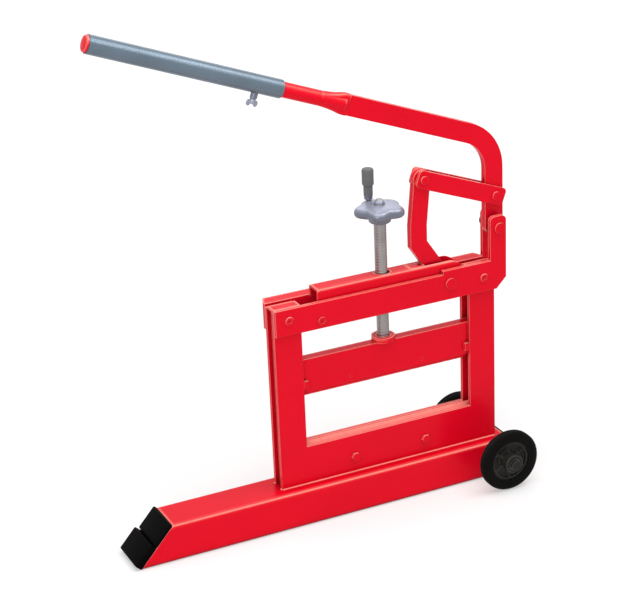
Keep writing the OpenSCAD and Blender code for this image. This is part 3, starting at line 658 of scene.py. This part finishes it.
class SPLITTER_OT_handwheel(bpy.types.Operator):
    """Model the lobed handwheel casting, its nut and its knob"""

    bl_idname = "splitter.handwheel"
    bl_label = "Handwheel"

    def execute(self, context):
        self.casting(context.scene.splitter_sizes)
        self.nut()
        self.knob()
        return {"FINISHED"}

    def casting(self, sizes):
        """The lobed wheel, domed on top, with its hub below."""
        low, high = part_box("handwheel")
        pin = centre_of("crank_pin")
        lobe = math.atan2(pin.y, pin.x)
        radius = max(high.x, high.y, -low.x, -low.y)
        rim_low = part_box("crank_pin")[0].z
        bm = bmesh.new()
        for v in disc(bm, (0, 0, rim_low), radius, segments=150):
            turn = math.cos(LOBES * (math.atan2(v.co.y, v.co.x) - lobe))
            draw = 1 - sizes.scallop / radius * (0.5 - 0.5 * turn) ** 1.2
            v.co.x, v.co.y = v.co.x * draw, v.co.y * draw
        grow(bm, bm.faces[:], UP * (high.z - rim_low))
        bmesh.ops.recalc_face_normals(bm, faces=bm.faces)
        rims = [e for e in bm.edges if abs(e.verts[0].co.z - e.verts[1].co.z) < 1e-6]
        round_edges(bm, rims, sizes.casting_round, segments=7)
        crown = max(bm.faces, key=lambda face: face.calc_center_median().z + face.calc_area())
        for shrink in CROWN_STEPS:
            verts, faces = grow(bm, [crown], open_foot=True)
            bmesh.ops.scale(bm, vec=(shrink, shrink, 1), verts=verts)
            crown = faces[0]
        for v in bm.verts:
            if v.co.z > (rim_low + high.z) / 2:
                v.co.z -= sizes.dome * v.co.xy.length_squared / radius ** 2
        hub = radius_of("spindle", "x") + 0.0045
        outline = (
            (0, low.z), (hub - 0.002, low.z), (hub, low.z + 0.002), (hub + 0.0005, rim_low - 0.003),
            (hub + 0.004, rim_low + 0.0005), (0, rim_low + 0.001),
        )
        lathe(bm, outline, ORIGIN, UP)
        add_piece("handwheel_casting", bm, BODY_OF["handwheel"], "zinc_cast", ["handwheel"])

    def nut(self):
        """The hexagon nut with a dome on it."""
        low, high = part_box("cap_nut_top")
        flat = radius_of("cap_nut_top", "y")
        brim = low.z + 0.0045
        rise = high.z + 0.0004 - brim
        bm = bmesh.new()
        disc(bm, UP * (low.z - 0.002), flat * 1.1, segments=6)
        grow(bm, bm.faces[:], UP * 0.007)
        turns = [math.pi / 2 * i / 8 for i in range(8)]
        dome = [(flat * 0.98 * math.cos(a), brim + rise * math.sin(a)) for a in turns]
        lathe(bm, [(0, brim), *dome, (0, brim + rise)], ORIGIN, UP, steps=36)
        add_piece("domed_nut", bm, BODY_OF["cap_nut_top"], "zinc_cast", ["cap_nut_top"], 40.0, "zinc_plate")

    def knob(self):
        """The fluted ferrule on the crank pin and the round knob above it."""
        low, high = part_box("crank_grip")
        pin = centre_of("crank_pin")
        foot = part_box("handwheel")[1].z + 0.007
        neck = radius_of("crank_pin", "x") + 0.0004
        ridge, groove = 0.04, -0.02
        bm = bmesh.new()
        for i, v in enumerate(disc(bm, (pin.x, pin.y, foot), neck, segments=40)):
            v.co.xy += (v.co.xy - pin.xy) * (ridge if i % 2 else groove)
        grow(bm, bm.faces[:], UP * (low.z - 0.0005 - foot))
        add_piece("fluted_ferrule", bm, BODY_OF["crank_pin"], "crank_plastic")

        r = radius_of("crank_grip", "x")
        outline = (
            (0, low.z), (r * 0.82, low.z), (r * 0.94, low.z + 0.001), (r, low.z + 0.004),
            (r * 0.985, low.z + 0.014), (r * 0.985, high.z - 0.012), (r, high.z - 0.004),
            (r * 0.95, high.z - 0.0015), (r * 0.8, high.z), (0, high.z),
        )
        middle = centre_of("crank_grip")
        bm = bmesh.new()
        lathe(bm, outline, (middle.x, middle.y, 0), UP, steps=40)
        add_piece("crank_knob", bm, BODY_OF["crank_grip"], "crank_plastic", ["crank_grip"])


class SPLITTER_OT_wheels(bpy.types.Operator):
    """Model the two wheels: ribbed tyres and ribbed hubs"""

    bl_idname = "splitter.wheels"
    bl_label = "Wheels"

    def execute(self, context):
        ribs = context.scene.splitter_sizes.spokes
        for side, out in (("near", FRONT), ("far", BACK)):
            low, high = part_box(side + "_tyre")
            centre = Vector(((low.x + high.x) / 2, 0, (low.z + high.z) / 2))
            inner, outer = sorted(abs(y) for y in (low.y, high.y))
            seat = radius_of(side + "_hub", "z")
            self.tyre(side, out, centre, inner, outer, seat)
            self.hub(side, out, centre, inner, outer, seat, ribs)
        return {"FINISHED"}

    def tyre(self, side, out, centre, inner, outer, seat):
        """A tyre with round shoulders and three grooves in its tread."""
        r = radius_of(side + "_tyre", "z")
        shoulder = [
            (seat, inner + 0.001), (seat + 0.004, inner), (r - 0.008, inner), (r - 0.003, inner + 0.002),
            (r - 0.0006, inner + 0.005),
        ]
        floor, mouth, depth = 0.0006, 0.0014, 0.0016
        tread = []
        for i in range(3):
            at = inner + (outer - inner) * (0.34 + 0.16 * i)
            tread += [(r, at - mouth), (r - depth, at - floor), (r - depth, at + floor), (r, at + mouth)]
        far_shoulder = [(a, inner + outer - d) for a, d in reversed(shoulder)]
        bm = bmesh.new()
        lathe(bm, shoulder + tread + far_shoulder + shoulder[:1], centre, out, steps=72)
        add_piece(side + "_ribbed_tyre", bm, BODY_OF[side + "_tyre"], "tyre_rubber", [side + "_tyre"])

    def hub(self, side, out, centre, inner, outer, seat, ribs):
        """A hub with a boss, a sunk web and a rim, and ribs on its outer side."""
        near, far = sorted(abs(end.y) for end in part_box(side + "_hub"))
        bore = radius_of(side + "_bush", "z")
        boss, rim = 0.02, seat - 0.005
        rim_in, rim_out = inner + 0.005, outer - 0.005
        web_in, web_out = rim_in + 0.004, rim_out - 0.007
        outline = (
            (bore, near), (boss - 0.0015, near), (boss, near + 0.0015), (boss, web_in), (rim - 0.001, web_in),
            (rim, rim_in), (seat, rim_in), (seat, rim_out), (rim, rim_out), (rim - 0.001, web_out),
            (boss + 0.002, web_out), (boss, rim_out - 0.004), (boss, far - 0.002), (boss - 0.002, far),
            (bore, far), (bore, near),
        )
        bm = bmesh.new()
        lathe(bm, outline, centre, out, steps=72)
        start = centre + out * (web_out - 0.0005)
        half, root, tip, height = 0.0022, boss - 0.001, rim - 0.0005, 0.006
        for i in range(ribs):
            turn = Matrix.Rotation(math.tau * i / ribs, 3, out)
            across, along = turn @ Vector((1, 0, 0)), turn @ UP
            ends = ((root, -half), (tip, -half), (tip, half), (root, half))
            slab(bm, [start + along * a + across * b for a, b in ends], out * height, 0.0009, segments=2)
        name = side + "_hub"
        add_piece(side + "_ribbed_hub", bm, BODY_OF[name], "black_plastic", [name], finish="hub_plastic")


class SPLITTER_OT_toe_pads(bpy.types.Operator):
    """Round the two pads on the slanted toe"""

    bl_idname = "splitter.toe_pads"
    bl_label = "Toe pads"

    def execute(self, context):
        rounding = context.scene.splitter_sizes.pad_round
        base_low, base_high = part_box("base_beam")
        toe = Vector((base_low.x, 0, 0))
        slope = Vector((TOE_SETBACK, 0, base_high.z))
        along = slope.normalized()
        out = Vector((-along.z, 0, along.x))
        split = slope.length * PAD_SPLIT
        half = base_high.y - PAD_MARGIN
        for name, start, end, thick in (
            ("toe_pad_upper", split + PAD_MARGIN, slope.length - PAD_MARGIN, PAD_UPPER),
            ("toe_pad_lower", PAD_MARGIN, split - PAD_MARGIN, PAD_LOWER),
        ):
            ends = ((start, -half), (end, -half), (end, half), (start, half))
            bm = bmesh.new()
            corners = [toe + along * s + BACK * y for s, y in ends]
            slab(bm, corners, out * thick, rounding, segments=4)
            add_piece(name + "_moulding", bm, BODY_OF[name], "black_plastic", [name])
        return {"FINISHED"}


class SPLITTER_OT_handle(bpy.types.Operator):
    """Flatten the root of the handle tube on to the bar"""

    bl_idname = "splitter.handle"
    bl_label = "Handle root"

    def execute(self, context):
        end = arm_start() + ARM_ALONG * ARM_LENGTH
        bm = bmesh.new()
        loops = []
        for past, high, wide, power in ROOT_SECTIONS:
            ring = bmesh.ops.create_circle(bm, segments=48, radius=1.0)["verts"]
            for v in ring:
                c, s = (math.copysign(abs(k) ** (2 / power), k) for k in (v.co.x, v.co.y))
                v.co = end + ARM_ALONG * past + ARM_LIFT * c * high + BACK * s * wide
            loops.append(edges_of(ring))
        for first, second in zip(loops, loops[1:]):
            bmesh.ops.bridge_loops(bm, edges=first + second)
        for rim in (loops[0], loops[-1]):
            bmesh.ops.holes_fill(bm, edges=rim, sides=0)
        add_piece("flattened_root", bm, BODY_OF["handle_root"], "paint", ["handle_root"], 50.0)
        return {"FINISHED"}


class SPLITTER_OT_grip_end(bpy.types.Operator):
    """Turn the domed plug in the end of the grip"""

    bl_idname = "splitter.grip_end"
    bl_label = "Grip plug"

    def execute(self, context):
        rim, stem, stem_end, shoulder = 0.0164, 0.0135, -0.024, -0.006
        low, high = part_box("grip_plug")
        tip = Vector((low.x + GRIP_RADIUS * ARM_LIFT.x, 0, high.z - GRIP_RADIUS * ARM_LIFT.z))
        outline = (
            (0, stem_end), (stem, stem_end), (stem, shoulder), (rim - 0.0006, shoulder), (rim, -0.0054),
            (rim, -0.0032), (rim - 0.0012, -0.0012), (rim - 0.004, -0.0003), (0, 0.0),
        )
        bm = bmesh.new()
        lathe(bm, outline, tip, ARM_ALONG, steps=56)
        add_piece("domed_plug", bm, BODY_OF["grip_plug"], "paint", ["grip_plug"])
        return {"FINISHED"}


class SPLITTER_OT_clamp(bpy.types.Operator):
    """Model the wing screw under the grip"""

    bl_idname = "splitter.clamp"
    bl_label = "Wing screw"

    def execute(self, context):
        down = -ARM_LIFT
        at = arm_start() + ARM_ALONG * (ARM_LENGTH + CLAMP_PLACE)
        tip, stem, nut_height, play = 0.0153, 0.004, 0.01, 0.001
        foot = GRIP_RADIUS + nut_height + play
        outline = (
            (0, tip), (stem, tip), (stem, foot), (0.0058, foot), (0.006, foot + 0.001),
            (0.0055, foot + 0.0085), (stem, foot + 0.01), (0, foot + 0.01),
        )
        bm = bmesh.new()
        lathe(bm, outline, at, down, steps=32)
        turned = Matrix((ARM_ALONG, BACK, down)).transposed().to_4x4()
        wing = turned @ Matrix.Diagonal((0.0048, 0.0019, 0.0062, 1.0))
        for side in (-1, 1):
            place = Matrix.Translation(at + down * (foot + 0.0085) + ARM_ALONG * side * 0.0075)
            bmesh.ops.create_uvsphere(bm, u_segments=20, v_segments=12, radius=1.0, matrix=place @ wing)
        add_piece("winged_screw", bm, BODY_OF["wing_screw"], "zinc_cast", ["wing_screw"], finish="zinc_plate")
        return {"FINISHED"}


class SPLITTER_OT_spring(bpy.types.Operator):
    """Wind the return spring under the rocker"""

    bl_idname = "splitter.spring"
    bl_label = "Return spring"

    def execute(self, context):
        sizes = context.scene.splitter_sizes
        low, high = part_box("return_spring")
        centre = (low + high) / 2
        wire = sizes.wire / 2
        middle = (high.y - low.y) / 2 - wire
        rise = high.z - low.z - 2 * wire
        steps = 28 * sizes.curls
        start = Vector((centre.x + middle, centre.y, low.z + wire))
        place = Matrix.Translation(start) @ Matrix.Rotation(math.pi / 2, 4, "X")
        bm = bmesh.new()
        ring = bmesh.ops.create_circle(bm, cap_ends=True, segments=12, radius=wire, matrix=place)["verts"]
        bmesh.ops.spin(
            bm, geom=[ring[0].link_faces[0]], cent=(centre.x, centre.y, 0), axis=UP, dvec=UP * (rise / steps),
            angle=math.tau * sizes.curls, steps=steps)
        coil = add_piece("wound_spring", bm, BODY_OF["return_spring"], "bare_steel", ["return_spring"])
        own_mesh(coil)
        return {"FINISHED"}


class SPLITTER_OT_bolts(bpy.types.Operator):
    """Model the head bolts with hexagon sockets"""

    bl_idname = "splitter.bolts"
    bl_label = "Head bolts"

    def execute(self, context):
        low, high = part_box("head_bolts")
        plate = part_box("head_plate_front")[0].y
        seat = -plate
        nut = radius_of("head_bolts", "z")
        head, shank, socket, deep, inset = 0.009, 0.0059, 0.0044, 0.0016, 0.011
        # rings from the socket's mouth to the nut's back: radius, place along the bolt, and whether six-sided
        rings = (
            (socket, low.y, True), (head - 0.0012, low.y, False), (head, low.y + 0.001, False),
            (head, plate, False), (shank, plate, False), (shank, seat, False),
            (nut, seat, True), (nut, high.y - 0.001, True), (nut - 0.001, high.y, True),
        )
        upright = Matrix.Rotation(math.pi / 2, 4, "X")
        bm = bmesh.new()
        for x in (low.x + inset, high.x - inset):
            loops = []
            for r, y, hexagon in rings:
                middle = Vector((x, y, (low.z + high.z) / 2))
                place = Matrix.Translation(middle) @ upright
                ring = bmesh.ops.create_circle(bm, segments=36, radius=r, matrix=place)["verts"]
                if hexagon:
                    for v in ring:
                        turn = math.atan2(v.co.z - middle.z, v.co.x - middle.x) % (math.pi / 3) - math.pi / 6
                        v.co = middle + (v.co - middle) * math.cos(math.pi / 6) / math.cos(turn)
                loops.append(edges_of(ring))
            for first, second in zip(loops, loops[1:]):
                bmesh.ops.bridge_loops(bm, edges=first + second)
            bmesh.ops.holes_fill(bm, edges=loops[-1], sides=0)
            mouth = bmesh.ops.holes_fill(bm, edges=loops[0], sides=0)["faces"][0]
            grow(bm, [mouth], BACK * deep, open_foot=True)
        add_piece("socket_bolts", bm, BODY_OF["head_bolts"], "paint", ["head_bolts"], 30.0)
        return {"FINISHED"}


class SPLITTER_OT_clips(bpy.types.Operator):
    """Spring clips on the back ends of the two link pins"""

    bl_idname = "splitter.clips"
    bl_label = "Link pin clips"

    def execute(self, context):
        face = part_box("strap_back")[1].y
        stem, rim = 0.006, 0.0094
        foot, top = face + 0.0004, face + 0.0018
        outline = (
            (stem, foot), (rim, foot), (rim + 0.0006, foot + 0.0006), (rim, top), (stem, top), (stem, foot),
        )
        for name in ("lever_link_pin", "rocker_link_pin"):
            middle = centre_of(name)
            bm = bmesh.new()
            lathe(bm, outline, (middle.x, 0, middle.z), BACK, steps=40)
            add_piece(name + "_clip", bm, BODY_OF[name], "dark_steel")
        return {"FINISHED"}


class SPLITTER_OT_web_plate(bpy.types.Operator):
    """Let a plate into the rocker's top beside the crank arm, with a bead at both ends"""

    bl_idname = "splitter.web_plate"
    bl_label = "Rocker web plate"

    def execute(self, context):
        body = BODY_OF["rocker_channel"]
        web_end, arm_face, half, thick = 0.058, 0.0895, 0.0144, 0.0042
        lowered, bead = 0.0006, 0.0016
        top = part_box("rocker_channel")[1].z - lowered
        ends = ((web_end, -half), (arm_face, -half), (arm_face, half), (web_end, half))
        bm = bmesh.new()
        slab(bm, [Vector((x, y, top - thick)) for x, y in ends], UP * thick, 0.0008, segments=2)
        add_piece("rocker_web_plate", bm, body, "paint")
        bm = bmesh.new()
        for x in (web_end, arm_face):
            weld_run(bm, (x, -half, top), (x, half, top), bead)
        add_piece("web_plate_welds", bm, body, "paint", smooth=80.0)
        return {"FINISHED"}


class SPLITTER_OT_welds(bpy.types.Operator):
    """Lay the weld beads of the frame and of the thrust housing"""

    bl_idname = "splitter.welds"
    bl_label = "Welds"

    def execute(self, context):
        width = context.scene.splitter_sizes.weld_width
        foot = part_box("base_beam")[1].z
        bm = bmesh.new()
        for name, face in (("front_frame", 0), ("back_frame", 1)):
            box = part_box(name)
            weld_run(bm, (box[0].x, box[face].y, foot), (box[1].x, box[face].y, foot), width)
            for end in box:
                weld_run(bm, (end.x, box[0].y, foot), (end.x, box[1].y, foot), width)
        add_piece("frame_welds", bm, "frame", "paint", smooth=80.0)
        low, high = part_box("thrust_housing")
        inset = 0.003
        bm = bmesh.new()
        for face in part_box("blade_beam"):
            weld_run(bm, (low.x + inset, face.y, low.z), (high.x - inset, face.y, low.z), width)
        add_piece("housing_welds", bm, "blade_carrier", "paint", smooth=80.0)
        return {"FINISHED"}


class SPLITTER_OT_stage(bpy.types.Operator):
    """Set the floor, the soft light and the camera"""

    bl_idname = "splitter.stage"
    bl_label = "Stage"

    def execute(self, context):
        scene = context.scene
        scene.view_settings.view_transform = "Standard"
        self.floor(scene)
        self.room(scene)
        self.lights(scene)
        self.camera(scene)
        return {"FINISHED"}

    def floor(self, scene):
        """A pale floor that keeps the shadow near the part and fades to white away from it."""
        bm = bmesh.new()
        bmesh.ops.create_grid(bm, x_segments=1, y_segments=1, size=FLOOR_HALF)
        mesh = bpy.data.meshes.new("floor")
        bm.to_mesh(mesh)
        bm.free()
        floor = bpy.data.objects.new("floor", mesh)
        scene.collection.objects.link(floor)
        f = Finish("pale_floor")
        settings = {"operation": "DISTANCE"}
        away = f.node("ShaderNodeVectorMath", settings, {0: f.place, 1: SHADOW_MIDDLE}, out="Value")
        settings = {"interpolation_type": "SMOOTHSTEP"}
        fade = f.node("ShaderNodeMapRange", settings, {"Value": away, **SHADOW_FADE}, out="Result")
        plain = f.node("ShaderNodeBsdfDiffuse", {}, {"Color": FLOOR_GREY})
        glow = f.node("ShaderNodeEmission", {}, {"Color": WHITE, "Strength": FLOOR_GLOW})
        share = f.white_rays() * fade
        mesh.materials.append(f.show(f.node("ShaderNodeMixShader", {}, {"Fac": share, 1: plain, 2: glow})))

    def room(self, scene):
        """A white room that lights the part less than it shows."""
        world = bpy.data.worlds.new("white_room")
        scene.world = world
        world.use_nodes = True
        room = Nodes(world.node_tree)
        sockets = {"Value": room.white_rays(), "To Min": ROOM_LIGHT, "To Max": ROOM_SEEN}
        level = room.node("ShaderNodeMapRange", {}, sockets, out="Result")
        background = room.tree.nodes["Background"]
        room.feed(background.inputs["Color"], WHITE)
        room.feed(background.inputs["Strength"], level)

    def lights(self, scene):
        """The soft lights, all aimed at the splitter."""
        for name, place, width, height, power in LIGHTS:
            lamp = bpy.data.lights.new(name, "AREA")
            lamp.shape = "RECTANGLE"
            lamp.size = width
            lamp.size_y = height
            lamp.energy = power
            light = bpy.data.objects.new(name, lamp)
            scene.collection.objects.link(light)
            light.location = place
            light.rotation_mode = "QUATERNION"
            light.rotation_quaternion = (LIGHT_TARGET - Vector(place)).to_track_quat("-Z", "Y")

    def camera(self, scene):
        """The camera, turned, tilted and rolled."""
        data = bpy.data.cameras.new("photo_camera")
        data.sensor_width = SENSOR
        data.lens = FOCAL_PIXELS / PICTURE_WIDTH * SENSOR
        data.clip_end = CAMERA_REACH
        camera = bpy.data.objects.new("photo_camera", data)
        scene.collection.objects.link(camera)
        turn, tilt, roll = (math.radians(a) for a in CAMERA_ANGLES)
        ahead = Vector((-math.sin(turn) * math.cos(tilt), math.cos(turn) * math.cos(tilt), -math.sin(tilt)))
        level = ahead.cross(UP).normalized()
        above = level.cross(ahead)
        right = level * math.cos(roll) + above * math.sin(roll)
        above = above * math.cos(roll) - level * math.sin(roll)
        pose = Matrix((right, above, -ahead)).transposed().to_4x4()
        pose.translation = CAMERA_PLACE
        camera.matrix_world = pose
        scene.camera = camera


class SPLITTER_PT_panel(bpy.types.Panel):
    """The splitter's settings, and its pieces in the order they are made"""

    bl_idname = "SPLITTER_PT_panel"
    bl_label = "Block splitter"
    bl_space_type = "VIEW_3D"
    bl_region_type = "UI"
    bl_category = "Splitter"

    def draw(self, context):
        for group in (context.scene.splitter_colours, context.scene.splitter_sizes):
            for key in group.__annotations__:
                self.layout.prop(group, key)
        for step in STEPS:
            self.layout.operator(step.bl_idname)


STEPS = (
    SPLITTER_OT_finishes,
    SPLITTER_OT_spindle,
    SPLITTER_OT_handwheel,
    SPLITTER_OT_wheels,
    SPLITTER_OT_toe_pads,
    SPLITTER_OT_handle,
    SPLITTER_OT_grip_end,
    SPLITTER_OT_clamp,
    SPLITTER_OT_spring,
    SPLITTER_OT_bolts,
    SPLITTER_OT_clips,
    SPLITTER_OT_web_plate,
    SPLITTER_OT_welds,
    SPLITTER_OT_stage,
)
CLASSES = (SplitterColours, SplitterSizes, *STEPS, SPLITTER_PT_panel)


def register():
    for cls in CLASSES:
        bpy.utils.register_class(cls)
    bpy.types.Scene.splitter_colours = bpy.props.PointerProperty(type=SplitterColours)
    bpy.types.Scene.splitter_sizes = bpy.props.PointerProperty(type=SplitterSizes)


def unregister():
    del bpy.types.Scene.splitter_sizes
    del bpy.types.Scene.splitter_colours
    for cls in reversed(CLASSES):
        bpy.utils.unregister_class(cls)


def main():
    register()
    for step in STEPS:
        group, name = step.bl_idname.split(".")
        getattr(getattr(bpy.ops, group), name)()


if __name__ == "__main__":
    main()
